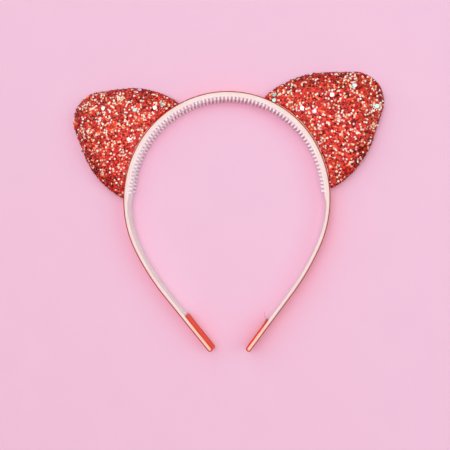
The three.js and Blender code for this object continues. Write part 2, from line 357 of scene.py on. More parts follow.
def plastic_look():
    """Moulded cream plastic: slight waviness, fine grain, duller patches, painted pink light on the thin
    comb standing in for light through it and bounced from the pink floor, and a peach tint towards the
    tips."""
    look = Look(
        "cream_plastic", IOR=1.47, Coat_Weight=0.08,
        Subsurface_Weight=0.5, Subsurface_Scale=0.0007, Subsurface_Radius=(1.0, 0.72, 0.62),
    )
    patches = look.noise(90, 4)
    colour = look.ramp(patches, [(0.3, (0.86, 0.730, 0.665)), (0.7, (0.91, 0.790, 0.725))])
    # Painted light: the comb and its teeth are coloured pinker, standing in for light through the thin
    # plastic and pink light bounced from the floor.
    comb = look.range(look.value("depth"), 0.0, 0.85, 2.2, 3.6)
    colour = look.mix(comb, colour, (0.99, 0.84, 0.87))
    # Peach towards the tips, over the stretch where the ribbon is folded in.
    peach_near_tips = look.range(look.value("along"), 0.0, 0.75, TIP_AT - 24, TIP_AT - 14)
    colour = look.mix(peach_near_tips, colour, (0.98, 0.60, 0.44))
    grain = look.noise(5200, 2)
    roughness = look.range(look.noise(700, 3), 0.34, 0.52, 0.35, 0.65)
    waves = look.bump(look.noise(420, 2), 0.05, 0.5)
    return look.done(colour, roughness, look.bump(grain, 0.012, 0.6, waves))


WEFT_PITCH = 0.26
WARP_PITCH = 0.14
EDGE_SHADE_WIDTH = 0.35  # the darker edge's width
THREAD_TWIST = 0.35  # one turn of the thread's plies


def satin_look():
    """Red satin ribbon: fine ribs across it, long glossy warp threads along it, long painted sheen streaks
    along it, and painted shade along its edges up to the fold.
    """
    look = Look("red_satin", Anisotropic=0.45, Specular_IOR_Level=0.2)
    along, across = look.value("along"), look.value("across")
    ribs = look.math("SINE", look.math("MULTIPLY", along, 2 * math.pi / WEFT_PITCH))
    warp = look.math("SINE", look.math("MULTIPLY", across, 2 * math.pi / WARP_PITCH))
    weave = look.math("ADD", look.math("MULTIPLY", ribs, 0.6), 0.5)
    strands = look.math("ADD", look.math("MULTIPLY", warp, 0.25), weave)
    # Painted sheen: long streaks along the ribbon, mixed with the weave into its colour as satin's long
    # highlights.
    streaks = look.streaks(along, across, 0.12, 2.6)
    shade = look.math("ADD", look.math("MULTIPLY", strands, 0.30), look.math("MULTIPLY", streaks, 0.70))
    colour = look.ramp(shade, [(0.2, (0.72, 0.036, 0.006)), (0.75, (0.98, 0.090, 0.012))])
    from_middle = look.math("ABSOLUTE", look.math("SUBTRACT", across, MIDDLE))
    # Painted shade: the ribbon is darker along both edges up to the fold, where its thin edge lies in
    # shade.
    edge_shade = look.range(from_middle, 0.0, 0.75, RIBBON_WIDTH / 2 - EDGE_SHADE_WIDTH, RIBBON_WIDTH / 2 - 0.1)
    before_fold = look.range(along, 1.0, 0.0, TIP_AT + 0.5, TIP_AT + 3.0)
    colour = look.mix(look.math("MULTIPLY", edge_shade, before_fold), colour, (0.55, 0.022, 0.016))
    roughness = look.range(shade, 0.28, 0.56)
    ripples = look.bump(look.streaks(along, across, 0.20, 0.45), 0.20, 0.6)
    return look.done(colour, roughness, look.bump(strands, 0.03, 0.55, ripples))


def glitter_cloth_look():
    """The cloth under the flakes: red lacquer full of fine glitter grains."""
    look = Look("glitter_cloth", Coat_Weight=0.05, Coat_Roughness=0.3)
    grain = look.cells(2600, "Color")
    split = look.feed(look.node("SeparateColor"), Color=grain)
    colour = look.ramp(split.outputs["Red"], [
        (0.0, (0.22, 0.004, 0.006)),
        (0.22, (0.46, 0.010, 0.010)),
        (0.50, (0.72, 0.028, 0.012)),
        (0.84, (0.94, 0.10, 0.03)),
        (0.95, (1.0, 0.60, 0.42)),
    ], "CONSTANT")
    colour = look.mix(look.range(look.noise(160, 3), 0.0, 0.5, 0.35, 0.65), colour, (0.52, 0.012, 0.012))
    roughness = look.range(split.outputs["Green"], 0.22, 0.55)
    metallic = look.range(split.outputs["Blue"], 0.1, 0.5)
    relief = look.bump(look.cells(2600), 0.10, 0.7)
    return look.done(colour, roughness, relief, metallic)


def flake_look():
    """Chopped foil: each flake has its own colour, from maroon through red to a pale peach."""
    look = Look("glitter_flakes", Specular_IOR_Level=0.35)
    tone = look.value("tone")
    colour = look.ramp(tone, [
        (0.00, (0.11, 0.002, 0.003)),
        (0.10, (0.40, 0.006, 0.012)),
        (0.25, (0.70, 0.020, 0.010)),
        (0.45, (0.92, 0.070, 0.018)),
        (0.62, (1.0, 0.20, 0.060)),
        (0.70, (1.0, 0.50, 0.25)),
        (0.77, (1.0, 0.80, 0.55)),
        (0.85, (1.0, 0.84, 0.75)),
        (0.92, (1.0, 0.95, 0.82)),
    ], "CONSTANT")
    scratches = look.noise(9000, 2)
    colour = look.mix(look.range(scratches, 0.0, 0.16, 0.4, 0.7), colour, (0.30, 0.02, 0.02), "MULTIPLY")
    roughness = look.range(look.value("gloss"), 0.18, 0.44)
    metallic = look.range(tone, 0.45, 0.10, 0.66, 0.74)
    return look.done(colour, roughness, look.bump(scratches, 0.004, 0.5), metallic)


def iridescent_look():
    """The few large flakes: clear film that glints mint, lilac or silver."""
    look = Look("iridescent_flakes", Coat_Weight=0.6, Coat_Roughness=0.08)
    colour = look.ramp(look.value("tone"), [
        (0.0, (0.46, 0.95, 0.74)),
        (0.3, (0.96, 0.97, 0.95)),
        (0.7, (0.66, 0.68, 1.0)),
    ], "CONSTANT")
    tint = look.noise(700, 2)
    colour = look.mix(look.range(tint, 0.0, 0.6, 0.4, 0.65), colour, (1.0, 0.93, 0.90))
    roughness = look.range(tint, 0.10, 0.26)
    metallic = look.range(tint, 0.45, 0.8)
    return look.done(colour, roughness, look.bump(tint, 0.02, 0.4), metallic)


def felt_look():
    """Red felt: tangled fibres and a soft sheen."""
    look = Look("red_felt", Sheen_Weight=0.6, Sheen_Roughness=0.5)
    fibres = look.noise(2400, 6, roughness=0.7)
    colour = look.ramp(fibres, [(0.3, (0.24, 0.010, 0.010)), (0.7, (0.50, 0.030, 0.026))])
    return look.done(colour, look.range(fibres, 0.8, 0.98), look.bump(fibres, 0.12))


def sponge_look():
    """Open-celled cream foam, darker in its pits as painted shade."""
    look = Look("cream_sponge", Subsurface_Weight=0.2, Subsurface_Scale=0.001)
    pores = look.cells(1500)
    # Painted shade: the colour is darker at the bottom of each pit.
    colour = look.ramp(pores, [(0.05, (0.50, 0.41, 0.28)), (0.4, (0.88, 0.80, 0.66))])
    return look.done(colour, look.range(pores, 0.98, 0.85), look.bump(pores, 0.25))


def glue_look():
    """Pale hot glue, orange to peach in patches: painted red light bounced onto it from the glitter
    and the ribbon.
    """
    look = Look("hot_glue", IOR=1.48, Subsurface_Weight=0.35, Subsurface_Scale=0.0015, Coat_Weight=0.3)
    red_bounce_patches = look.noise(600, 4)
    # Painted reflected light: orange to peach patches stand in for red light bounced from the glitter and
    # the ribbon.
    colour = look.ramp(red_bounce_patches, [(0.3, (0.90, 0.42, 0.30)), (0.7, (0.97, 0.72, 0.60))])
    return look.done(colour, look.range(red_bounce_patches, 0.18, 0.4), look.bump(look.noise(1800, 2), 0.05, 0.5))


def thread_look():
    """Red polyester thread, with the twist of its plies."""
    look = Look("red_thread", Sheen_Weight=0.3)
    twist = look.math("SINE", look.math("MULTIPLY", look.value("along"), 2 * math.pi / THREAD_TWIST))
    fuzz = look.noise(6000, 3)
    shade = look.math("ADD", look.math("MULTIPLY", twist, 0.3), fuzz)
    colour = look.ramp(shade, [(0.2, (0.34, 0.014, 0.016)), (0.8, (0.72, 0.05, 0.04))])
    return look.done(colour, look.range(fuzz, 0.5, 0.75), look.bump(shade, 0.04))


def floor_look():
    """Pink card."""
    look = Look("pink_card")
    fleck = look.noise(40, 2)
    colour = look.ramp(fleck, [(0.3, (0.870, 0.560, 0.722)), (0.7, (0.882, 0.570, 0.732))])
    return look.done(colour, look.range(fleck, 0.72, 0.8))


# ---- Band: one moulding, shown as two halves that meet at the crown's top ----

CELL = TOOTH_PITCH / 4  # teeth and gaps are both two cells wide
PLASTIC_OUTSIDE = 0.28
PLASTIC_INSIDE = 2.35
COMB_DEPTH = 1.10  # how much thicker the band is along the comb
COMB_FADE = 6.0
PLASTIC_CENTRE = (PLASTIC_OUTSIDE + PLASTIC_INSIDE) / 2
PLASTIC_RADIUS = (PLASTIC_INSIDE - PLASTIC_OUTSIDE) / 2
# The band's section, as (depth, height) round from the outer face. Rows 5 to 7 and 9 to 11 of this
# list are the faces that teeth grow from.
SECTION = (
    (PLASTIC_OUTSIDE, 0.30), (PLASTIC_OUTSIDE, MIDDLE), (PLASTIC_OUTSIDE, 8.70),
    (0.75, 9.0), (2.0, 9.0),
    (PLASTIC_INSIDE, 8.75), (PLASTIC_INSIDE, 7.50), (PLASTIC_INSIDE, 6.25),
    (PLASTIC_INSIDE - 0.15, MIDDLE),
    (PLASTIC_INSIDE, 2.75), (PLASTIC_INSIDE, 1.50), (PLASTIC_INSIDE, 0.25),
    (2.0, 0.0), (0.75, 0.0),
)
ARM_STATIONS = 46
TIP_TURNS = (22.0, 45.0, 66.0, 82.0)  # stations round the tip's arc, in degrees
UPPER_ROW = 5
LOWER_ROW = 9
# A tooth's rings above its root: depth, then its share of the root's width and height.
TOOTH_RINGS = ((3.62, 1.36, 0.98), (4.28, 1.08, 0.93), (4.95, 0.74, 0.85), (5.24, 0.40, 0.62))


def comb_cells(side):
    return round(TEETH_PER_SIDE[side] * TOOTH_PITCH / CELL)


def plastic_cage(cells):
    """A half's cage in (along, depth, height), starting on the crown's middle plane."""
    comb = np.arange(cells + 3) * CELL
    arm = np.linspace(comb[-1], TIP_AT, ARM_STATIONS)[1:]
    turn = np.radians(TIP_TURNS)
    stations = [(s, 1.0, 1.0) for s in np.concatenate([comb, arm])]
    stations += [
        (TIP_AT + PLASTIC_RADIUS * math.sin(t), math.cos(t), 0.9 + 0.1 * math.cos(t)) for t in turn
    ]
    ring = np.array(SECTION)
    points = []
    for along, thick, wide in stations:
        depth = PLASTIC_CENTRE + (ring[:, 0] - PLASTIC_CENTRE) * thick
        past_comb = min(max((along - comb[-1]) / COMB_FADE, 0), 1)
        depth += COMB_DEPTH * (1 - past_comb) * (ring[:, 0] > PLASTIC_CENTRE)
        height = MIDDLE + (ring[:, 1] - MIDDLE) * wide
        points.append(np.stack([np.full(len(ring), along), depth, height], -1))
    sides = len(ring)
    count = len(stations)
    grid = np.concatenate(points)
    index = np.arange(count * sides).reshape(count, sides)
    faces = {}
    for i in range(count - 1):
        for j in range(sides):
            k = (j + 1) % sides
            faces[i, j] = (index[i, j], index[i, k], index[i + 1, k], index[i + 1, j])
    faces["end"] = tuple(index[-1, ::-1])
    return list(grid), faces, index


def grow_tooth(points, faces, index, column, row):
    """Replaces two by two faces of the cage, which start at a column and row, by a tooth. A tooth at
    column -1 is cut by the crown's middle plane, and only its right half is made."""
    first = max(column, 0)
    stations = range(first, column + 3)
    for i in stations[:-1]:
        for j in (row, row + 1):
            del faces[i, j]
    root = np.array([[index[i, row + j] for j in range(3)] for i in stations])
    middle = (column + 1) * CELL
    height = points[root[0, 1]][2]
    below = root
    for depth, wide, tall in TOOTH_RINGS:
        above = np.empty_like(root)
        for (a, b), corner in np.ndenumerate(root):
            along, _, z = points[corner]
            above[a, b] = len(points)
            points.append(np.array([middle + (along - middle) * wide, depth, height + (z - height) * tall]))
        last = len(root) - 1
        rim = [(0, 0)] if column < 0 else [(0, 1), (0, 0)]
        rim += [(a, 0) for a in range(1, last + 1)] + [(last, 1)] + [(a, 2) for a in range(last, -1, -1)]
        rim += [] if column < 0 else [(0, 1)]
        for (a, b), (c, d) in zip(rim, rim[1:]):
            faces["tooth", column, row, depth, a, b] = (below[a, b], below[c, d], above[c, d], above[a, b])
        below = above
    for a in range(len(root) - 1):
        for b in range(2):
            faces["top", column, row, a, b] = (
                below[a, b], below[a + 1, b], below[a + 1, b + 1], below[a, b + 1]
            )


def half_band(side, look):
    cells = comb_cells(side)
    points, faces, index = plastic_cage(cells)
    for column in range(-1, cells - 1, 4):
        grow_tooth(points, faces, index, column, LOWER_ROW)
        grow_tooth(points, faces, index, column + 2, UPPER_ROW)
    along, depth, height = np.array(points).T
    placed = band_place(along, depth, height) * (side, 1, 1)
    piece = make_mesh(side_name(side, "band"), placed, list(faces.values()), look)
    add_values(piece, "along", along)
    add_values(piece, "depth", depth)
    orient(piece, drop_loose_points)
    subdivide(piece, 2)
    orient(piece, cap_at_crown)
    return piece


def subdivide(piece, levels):
    """Subdivides a cage and keeps the result as the piece's own mesh."""
    modifier = piece.modifiers.new("smooth", "SUBSURF")
    modifier.levels = modifier.render_levels = levels
    graph = bpy.context.evaluated_depsgraph_get()
    mesh = bpy.data.meshes.new_from_object(piece.evaluated_get(graph))
    piece.modifiers.clear()
    piece.data = mesh
    mesh.name = piece.name


def drop_loose_points(mesh):
    """Removes points that no face uses, such as the middle of a tooth's root."""
    bmesh.ops.delete(mesh, geom=[v for v in mesh.verts if not v.link_faces], context="VERTS")


def cap_at_crown(mesh):
    """Closes a half where it meets the other half, with a sharp edge so that no line shows there."""
    border = [e for e in mesh.edges if len(e.link_faces) == 1]
    for edge in border:
        for vertex in edge.verts:
            vertex.co.x = 0.0
    made = bmesh.ops.holes_fill(mesh, edges=border, sides=0)
    for face in made["faces"]:
        face.smooth = False
        for edge in face.edges:
            edge.smooth = False


# ---- Ribbon: along the outside, round the tip and back along the inside ----

RIBBON_THICKNESS = 0.24
RIBBON_EDGE = 0.27  # the selvedge's thickness
FOLD_THICKNESS = 0.80  # of ribbon and glue where it is turned in
RIBBON_WIDTH = 8.8
RIBBON_STEP = 0.6
RIBBON_GAP = 0.03  # between the fold and the plastic
RIBBON_LIFT_LENGTH = 7.0  # the loose stretch at the fold's end
RIBBON_LIFT_LEAN = 0.14  # how far it leans, in radians for each millimetre of lift
RIBBON_WAVER = 0.02  # how far its edges wander from a straight line
RIBBON_RIPPLE = 0.02
FOLD_LIFT = {1: 0.35, -1: 0.30}  # how far each fold's end stands off the plastic


def ribbon_route(side):
    """Points of the ribbon's middle surface on the right side, with the directions away from the
    plastic, the distances along it and its thickness."""
    outside = RIBBON_THICKNESS / 2
    inside = PLASTIC_INSIDE + FOLD_THICKNESS / 2 + RIBBON_GAP
    radius = (inside - outside) / 2
    centre = (inside + outside) / 2
    fold = RIBBON_FOLD[side]
    along = np.linspace(0, TIP_AT, round(TIP_AT / RIBBON_STEP))
    turn = np.linspace(0, math.pi, 15)[1:-1]
    back = np.linspace(0, fold, 60)
    loose = np.clip(1 - (fold - back) / RIBBON_LIFT_LENGTH, 0, 1)
    lift = FOLD_LIFT[side] * loose**2
    at = np.concatenate([along, TIP_AT + radius * np.sin(turn), TIP_AT - back])
    depth = np.concatenate([0 * along + outside, centre - radius * np.cos(turn), inside + lift])
    angle = np.concatenate([0 * along, turn, math.pi - RIBBON_LIFT_LEAN * loose * FOLD_LIFT[side]])
    _, forward, inward = band_line(at)
    away = np.sin(angle)[:, None] * forward - np.cos(angle)[:, None] * inward
    place = band_place(at, depth, MIDDLE)
    step = np.linalg.norm(np.diff(place, axis=0), axis=1)
    folded = np.concatenate([0 * along, turn / math.pi, 1 + 0 * back])
    thick = RIBBON_THICKNESS + (FOLD_THICKNESS - RIBBON_THICKNESS) * folded
    return place, away, np.concatenate([[0], np.cumsum(step)]), thick


def half_ribbon(side, look, rng):
    place, away, along, thick = ribbon_route(side)
    across = np.concatenate([[-1.0, -0.985, -0.93], np.linspace(-0.82, 0.82, 9), [0.93, 0.985, 1.0]])
    half = np.where(np.abs(across) > 0.9, RIBBON_EDGE / RIBBON_THICKNESS, 1.0) / 2
    half *= np.sqrt(np.clip((1.02 - np.abs(across)) / 0.05, 0.15, 1))
    ring_z = np.concatenate([across, across[::-1]]) * RIBBON_WIDTH / 2
    ring_out = np.concatenate([half, -half[::-1]])
    count = len(along)
    waver = RIBBON_WAVER * smooth_noise(rng, count, 14)
    waver[:3] = 0
    ripple = RIBBON_RIPPLE * smooth_noise(rng, count, 6)
    ripple[:6] = 0
    wide = 1 + 0 * along
    wide[-1] = 0.985
    z = MIDDLE + ring_z[None] * wide[:, None] + waver[:, None] * np.sign(ring_z)[None]
    out = ring_out[None] * thick[:, None] + ripple[:, None] * (ring_out > 0)[None]
    rings = place[:, None] + out[..., None] * np.append(away, np.zeros((count, 1)), 1)[:, None]
    rings[..., 2] = z
    rings[0, :, 0] = 0.0
    along = np.repeat(along, len(ring_z))
    piece = make_piece(side, "ribbon", swept(rings), look, "ribbon_satin", along=along, across=z)
    for face in (piece.data.polygons[-2], piece.data.polygons[-1]):
        face.use_smooth = False
    piece.data.set_sharp_from_angle(angle=math.radians(50))
    return piece


FRAY_COUNT = 26
FRAY_RADIUS = 0.045
FRAY_LENGTHS = (0.3, 1.3)
LOOSE_THREAD_RADIUS = 0.08


def frayed_end(side, look, rng):
    """Short fibres out of the fold's cut end, and on the right side one long loose thread."""
    place, away, _, _ = ribbon_route(side)
    end, before = place[-1], place[-4]
    onward = (end - before) / np.linalg.norm(end - before)
    out = np.append(away[-1], 0.0)
    parts, along = [], []
    for z in np.linspace(0.5, BAND_WIDTH - 0.5, FRAY_COUNT):
        length = rng.uniform(*FRAY_LENGTHS)
        bend = rng.normal(0, 0.35, 3)
        t = np.linspace(0, 1, 6)[:, None]
        start = np.array([end[0], end[1], z]) - 0.3 * onward + rng.uniform(-0.1, 0.1) * out
        route = start + (length + 0.3) * t * onward + t**2 * (bend * length * (0.6, 0.6, 1.0) + 0.15 * out)
        parts.append(swept(tube(route, FRAY_RADIUS, 5)))
        along.append(np.repeat(t[:, 0] * length, 5))
    if side > 0:
        t = np.linspace(0, 1, 40)[:, None]
        start = np.array([end[0], end[1], BAND_WIDTH - 0.3]) - 0.8 * onward
        curl = np.concatenate([0.28 * np.sin(5.5 * t), 0 * t, 0.5 * np.sin(2.6 * t)], 1)
        rise = np.array([0.6, 6.4, 0.0]) * t + np.array([-0.5, 0.0, 0.0]) * t**2
        parts.append(swept(tube(start + rise + curl, LOOSE_THREAD_RADIUS, 7)))
        along.append(np.repeat(t[:, 0] * 7, 7))
    along = np.concatenate(along)
    return make_piece(side, "frayed_end", join_parts(parts), look, "ribbon_satin", along=along)


# ---- Ears ----

def right_ear_axes():
    """The base's middle, the direction along its chord, the direction out from the band, and half
    the chord, for the right ear."""
    ends, _, inward = band_line([EAR_START, EAR_END])
    ends = ends - PANEL_LIFT * inward
    middle = ends.mean(0)
    half = np.linalg.norm(ends[1] - middle)
    u = (ends[1] - middle) / half
    return middle, u, np.array([-u[1], u[0]]), half


EAR_MIDDLE, EAR_U, EAR_V, HALF_CHORD = right_ear_axes()


def ear_place(u, v, z):
    """Points in the frame from the right ear's own coordinates."""
    flat = EAR_MIDDLE + u[..., None] * EAR_U + v[..., None] * EAR_V
    return np.concatenate([flat, np.broadcast_to(z, u.shape)[..., None]], -1)


def unit(angle):
    return np.stack([np.cos(angle), np.sin(angle)], -1)


class Seam:
    """Half of the seam's outline: a shoulder, a straight and a tip arc, by distance along it."""

    def __init__(self):
        self.start = math.radians(SHOULDER_HEADING - 90)
        self.end = self.start + math.radians(SHOULDER_TURN)
        self.centre = np.array([HALF_CHORD, 0.0]) - SHOULDER_RADIUS * unit(self.start)
        self.corner = self.centre + SHOULDER_RADIUS * unit(self.end)
        finish = self.corner + SEAM_STRAIGHT * unit(self.end + math.pi / 2)
        self.tip_radius = finish[0] / math.cos(self.end)
        self.tip_height = finish[1] - self.tip_radius * math.sin(self.end)
        self.lengths = (
            SHOULDER_RADIUS * math.radians(SHOULDER_TURN),
            SEAM_STRAIGHT,
            self.tip_radius * (math.pi / 2 - self.end),
        )
        self.length = sum(self.lengths)
        self.height = self.tip_height + self.tip_radius

    def point(self, share):
        """(u, v) at a share of the length, from the base's corner to the ear's tip."""
        at = np.asarray(share, float) * self.length
        shoulder, straight, _ = self.lengths
        a = self.start + np.clip(at, 0, shoulder) / SHOULDER_RADIUS
        b = np.clip(at - shoulder, 0, straight)
        c = self.end + np.clip(at - shoulder - straight, 0, None) / self.tip_radius
        on_shoulder = self.centre + SHOULDER_RADIUS * unit(a)
        on_straight = self.corner + b[..., None] * unit(self.end + math.pi / 2)
        on_tip = (0.0, self.tip_height) + self.tip_radius * unit(c)
        at = at[..., None]
        return np.where(at > shoulder + straight, on_tip, np.where(at > shoulder, on_straight, on_shoulder))


SEAM = Seam()
SEAM_REACH = 1 - BLUNT_TIP / SEAM.length


def base_rise(across, lift=PANEL_LIFT):
    """(u, v) of the ear's base, which follows the band."""
    point, _, inward = band_line(EAR_START + (EAR_END - EAR_START) * (np.asarray(across) + 1) / 2)
    away = point - lift * inward - EAR_MIDDLE
    return np.stack([away @ EAR_U, away @ EAR_V], -1)


BASE_RISE = base_rise(0.0)[1]


def ear_flat(row, across):
    """The ear's flat pattern: row 0 at the band and 1 at the tip, across from -1 to 1."""
    edge = SEAM.point(row * SEAM_REACH)
    bulge = base_rise(across)[..., 1] / BASE_RISE
    middle = BASE_RISE + (SEAM.height - BASE_RISE) * row
    return edge[..., 0] * across, edge[..., 1] + (middle - edge[..., 1]) * bulge


def swell(row, across, crown, roundness):
    """How far a face of the ear stands off its seam."""
    fall = np.clip((row - FULLEST_ROW) / (1 - FULLEST_ROW), 0, 1)
    rise = np.clip((FULLEST_ROW - row) / FULLEST_ROW, 0, 1)
    centre = crown * np.sqrt(1 - fall**2) - (crown - BASE_CROWN) * rise**2
    return centre * np.clip(1 - across**2, 0, 1) ** roundness


COVER_ROWS = 64
COVER_COLUMNS = 88
TURN_ROWS = 7  # where the cloth turns under at the base
TURN_LIFT = 0.45  # the turned edge's distance from the ribbon
TURN_DROP = 1.5
COVER_EDGE = 0.12  # from the seam's plane to each cover's edge
CLOTH_THICKNESS = 0.5
PUCKER_PITCH = 4.2  # along the seam
PUCKER_DEPTH = 0.16
PUCKER_REACH = 0.16  # across the ear, from the seam
BACK_FULLNESS = 3.6  # leaves room under the back for its flakes
# The front cover faces up, which is 1, and the back cover down, which is -1.
FACES = {1: "front", -1: "back"}
FULLNESS = {1: FRONT_CROWN, -1: BACK_FULLNESS}
ROUNDNESS = {1: FRONT_ROUNDNESS, -1: BACK_ROUNDNESS}


def cover_surface(up, rng):
    """The outer face of a cover of the right ear, as a grid of points from its turned-under base
    edge to its tip, with each point's row."""
    row = np.sin(np.linspace(0, math.pi / 2, COVER_ROWS))[:, None]
    across = -np.cos(np.linspace(0, math.pi, COVER_COLUMNS))[None]
    row, across = np.broadcast_arrays(row, across)
    height = swell(row, across, FULLNESS[up], ROUNDNESS[up])
    u, v = ear_flat(row, across)
    edge = np.clip(1 - (1 - np.abs(across)) / PUCKER_REACH, 0, 1) ** 1.5 * (1 - row**8)
    wave = np.sin(2 * math.pi * row * SEAM.length / PUCKER_PITCH + rng.uniform(0, 6, 2)[(across > 0) * 1])
    height = height * (1 - PUCKER_DEPTH * edge * (0.5 + 0.5 * wave))
    height += 0.10 * np.sin(u * 0.31 + 1.3) * np.sin(v * 0.27) * np.clip(height / 3, 0, 1)
    main = ear_place(u, v, MIDDLE + up * (COVER_EDGE + height))
    turn = np.linspace(math.pi / 2, 0, TURN_ROWS)[:-1, None]
    lift = PANEL_LIFT - (PANEL_LIFT - TURN_LIFT) * np.sin(turn)
    base_height = height[:1]
    low = base_height - np.minimum(TURN_DROP, 0.45 * base_height) * (1 - np.cos(turn))
    flat = base_rise(across[:1].repeat(len(turn), 0), lift[..., None])
    under = ear_place(flat[..., 0], flat[..., 1], MIDDLE + up * (COVER_EDGE + low))
    return np.concatenate([under, main])


CLOTH_SCALE = 10.0  # the solver is steadier on a cloth that is about a metre wide
CLOTH_FRAMES = 16
CLOTH_SETTINGS = {
    "vertex_group_mass": "held",
    "quality": 6,
    "tension_stiffness": 20.0,
    "compression_stiffness": 20.0,
    "bending_stiffness": 0.3,
    "shrink_min": -0.05,  # the cloth is cut this much fuller than the ear's surface
    "use_pressure": True,
    "uniform_pressure_force": 3.0,
}
CLOTH_REACH = 0.45  # the furthest that a point may move
CLOTH_LOWEST = 0.62  # where the back lies flat, with its flakes between the cloth and the floor


def relaxed(surface, up):
    """The outer face of a cover after a cloth simulation. It is cut a little full, pushed out by the
    foam and held along its seam and its turned edge, so it puckers there as sewn cloth does."""
    rows, columns = surface.shape[:2]
    faces = grid_faces(rows, columns)
    if up < 0:
        faces = [face[::-1] for face in faces]
    mesh = bpy.data.meshes.new("cloth")
    mesh.from_pydata((surface.reshape(-1, 3) * MM * CLOTH_SCALE).tolist(), [], faces)
    cloth = bpy.data.objects.new("cloth", mesh)
    scene = bpy.context.scene
    scene.collection.objects.link(cloth)
    index = np.arange(rows * columns).reshape(rows, columns)
    held = np.concatenate([index[:TURN_ROWS].ravel(), index[:, 0], index[:, -1], index[-1]])
    cloth.vertex_groups.new(name="held").add(held.tolist(), 1.0, "REPLACE")
    modifier = cloth.modifiers.new("cloth", "CLOTH")
    modifier.point_cache.frame_start = 1
    modifier.point_cache.frame_end = CLOTH_FRAMES
    modifier.collision_settings.use_collision = False
    for name, value in CLOTH_SETTINGS.items():
        setattr(modifier.settings, name, value)
    modifier.settings.effector_weights.gravity = 0.0
    for frame_number in range(1, CLOTH_FRAMES + 1):
        scene.frame_set(frame_number)
    result = cloth.evaluated_get(bpy.context.evaluated_depsgraph_get()).data
    points = np.empty(rows * columns * 3, np.float32)
    result.vertices.foreach_get("co", points)
    bpy.data.objects.remove(cloth)
    scene.frame_set(1)
    move = points.reshape(surface.shape) / (MM * CLOTH_SCALE) - surface
    length = np.linalg.norm(move, axis=-1, keepdims=True)
    settled = surface + move * CLOTH_REACH * np.tanh(length / CLOTH_REACH) / np.maximum(length, 1e-6)
    settled[..., 2] = np.maximum(settled[..., 2], CLOTH_LOWEST)
    return settled


def ear_cover(side, up, surface, look):
    """A cover: cloth of an even thickness inside its outer face."""
    inner = surface - CLOTH_THICKNESS * grid_normals(surface, up)
    sheet = closed_sheet(surface, inner)
    piece = make_piece(side, f"ear_{FACES[up]}_cover", sheet, look, "glitter_fabric")
    piece.data.set_sharp_from_angle(angle=math.radians(55))
    return piece


FLAKE_SPACING = 0.84
FLAKE_TRIES = 11000
FLAKE_RADIUS = (0.48, 0.86)
PALE_TONE = 0.70  # flakes from this tone up are pale, and lie on top of the others
FLAKE_HALF_THICKNESS = 0.022
FLAKE_TILT = 14.0
FLAKE_LOWEST = 0.02  # flakes under the back are pressed flat on the floor
FLAKE_LIFT = 0.04  # the least height of a flake's middle over the cloth
FLAKE_LIFT_SPREAD = 0.12
PALE_LIFT = 0.12
BARE_BASE = 0.8  # share of the flakes that are missing where the cloth turns under
TONE_POWER = 1.2  # more than 1, so that dark flakes outnumber pale ones
CLUMP_WAVES = 6
CLUMP_WAVE = 0.8  # radians a millimetre
CLUMPING = 0.55
# Painted shade: flakes beside the seam, where the ear curves down, get darker tones.
SEAM_PAINTED_SHADE = 1.6  # how much darker the flakes are beside the seam
LARGE_FLAKE_RADIUS = (1.15, 1.50)
LARGE_FLAKE_LIFT = 0.46
LARGE_FLAKE_TILT = 5.0
BACK_LARGE_FLAKE_SPACING = 9.0
BACK_LARGE_FLAKES = 6
MINT, WHITE, LILAC = 0.1, 0.5, 0.9  # tones of the large flakes
# Large flakes on each ear's front, as (row, across, tone) on its pattern.
FRONT_LARGE_FLAKES = {
    1: (
        (0.74, -0.36, WHITE), (0.18, -0.22, LILAC), (0.11, -0.41, WHITE), (0.78, 0.76, MINT),
        (0.06, -0.91, MINT), (0.01, -0.84, MINT), (0.45, -0.35, WHITE),
    ),
    -1: (
        (0.37, -0.93, LILAC), (0.07, -0.82, MINT), (0.10, -0.69, MINT), (0.10, 0.0, WHITE),
        (0.61, -0.33, WHITE), (0.24, -0.50, MINT),
    ),
}


def scattered(surface, up, tries, rng):
    """Random places on a grid of points, evenly by area, with their normals, rows and columns."""
    a, b, c, d = surface[:-1, :-1], surface[:-1, 1:], surface[1:, 1:], surface[1:, :-1]
    area = np.linalg.norm(np.cross(c - a, d - b), axis=-1)
    chosen = rng.choice(area.size, tries, p=(area / area.sum()).ravel())
    i, j = np.unravel_index(chosen, area.shape)
    s, t = rng.random((2, tries, 1))
    place = (1 - s) * ((1 - t) * a[i, j] + t * b[i, j]) + s * ((1 - t) * d[i, j] + t * c[i, j])
    normal = grid_normals(surface, up)[i, j]
    return place, normal, i, j


def thinned(place, spacing):
    """The places that are left when each one keeps the later ones off."""
    tree = KDTree(len(place))
    for k, point in enumerate(place):
        tree.insert(point, k)
    tree.balance()
    free = np.ones(len(place), bool)
    kept = []
    for k in range(len(place)):
        if free[k]:
            kept.append(k)
            for _, near, _ in tree.find_range(place[k], spacing):
                free[near] = False
    return np.array(kept)


